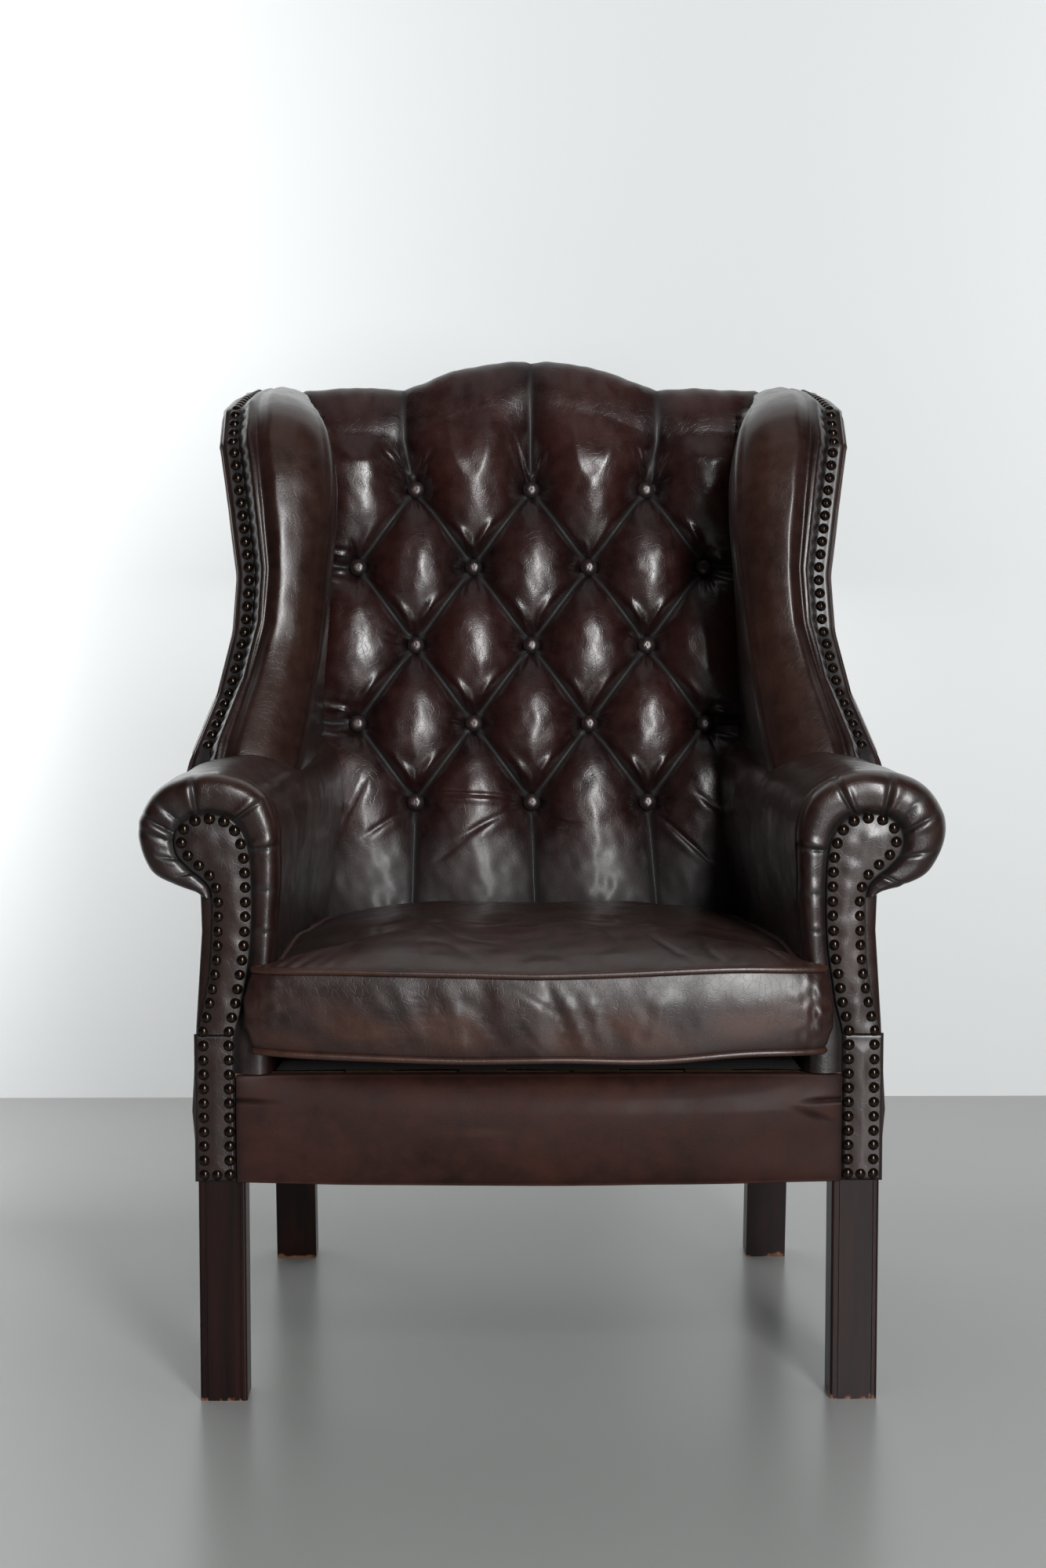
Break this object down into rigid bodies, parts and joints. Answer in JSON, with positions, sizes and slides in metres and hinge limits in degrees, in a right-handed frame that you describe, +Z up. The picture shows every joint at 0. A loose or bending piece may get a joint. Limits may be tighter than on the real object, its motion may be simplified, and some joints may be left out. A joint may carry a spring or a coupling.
{
  "type": "wing armchair",
  "caption": "Wing armchair in dark buttoned leather with rolled arms, camel-shaped back, loose seat cushion and square moulded legs.",
  "frame": {"origin": "on the floor, under the middle of the chair's overall width and depth", "axes": "+X to the viewer's right when facing the chair, +Y to its back, +Z up; the front faces -Y"},
  "size_m": [0.819, 0.782, 1.101],
  "materials": {
    "leather": "antique oxblood leather, rubbed, semi-gloss",
    "mahogany": "dark mahogany stain, satin varnish",
    "beech": "raw planed beech",
    "bronze": "antiqued dark bronze",
    "webbing": "woven jute",
    "deck_cloth": "dark lining cloth",
    "black_cloth": "black cambric",
    "foam": "open-cell foam"
  },
  "bodies": {
    "chair": {"front_leg_left": "mahogany", "front_leg_right": "mahogany", "back_post_left": "mahogany", "back_post_right": "mahogany", "front_rail": "beech", "rear_rail": "beech", "side_rail_left": "beech", "side_rail_right": "beech", "corner_blocks": "beech", "arm_front_board_left": "beech", "arm_front_board_right": "beech", "arm_board_left": "beech", "arm_board_right": "beech", "arm_lower_rail_left": "beech", "arm_lower_rail_right": "beech", "camel_top_rail": "beech", "lower_back_rail": "beech", "wing_frame_left": "beech", "wing_frame_right": "beech", "frame_dowels": "beech", "seat_webbing_long": "webbing", "seat_webbing_cross": "webbing", "back_webbing_cross": "webbing", "back_webbing_upright": "webbing", "seat_deck": "deck_cloth", "dust_cover": "black_cloth", "back_pad": "leather", "back_buttons": "leather", "wing_pad_left": "leather", "wing_pad_right": "leather", "arm_pad_left": "leather", "arm_pad_right": "leather", "arm_facing_left": "leather", "arm_facing_right": "leather", "lower_facing_left": "leather", "lower_facing_right": "leather", "front_rail_cover": "leather", "outside_arm_left": "leather", "outside_arm_right": "leather", "outside_wing_left": "leather", "outside_wing_right": "leather", "outside_back": "leather", "arm_nails_left": "bronze", "arm_nails_right": "bronze", "wing_nails_left": "bronze", "wing_nails_right": "bronze"},
    "cushion": {"seat_cushion": "leather", "cushion_core": "foam", "cushion_welt_top": "leather", "cushion_welt_bottom": "leather"}
  },
  "joints": [
    {"name": "cushion_slide", "type": "slide", "parent": "chair", "child": "cushion", "axis": [0, -1, 0], "range_m": [0, 0.6]}
  ]
}
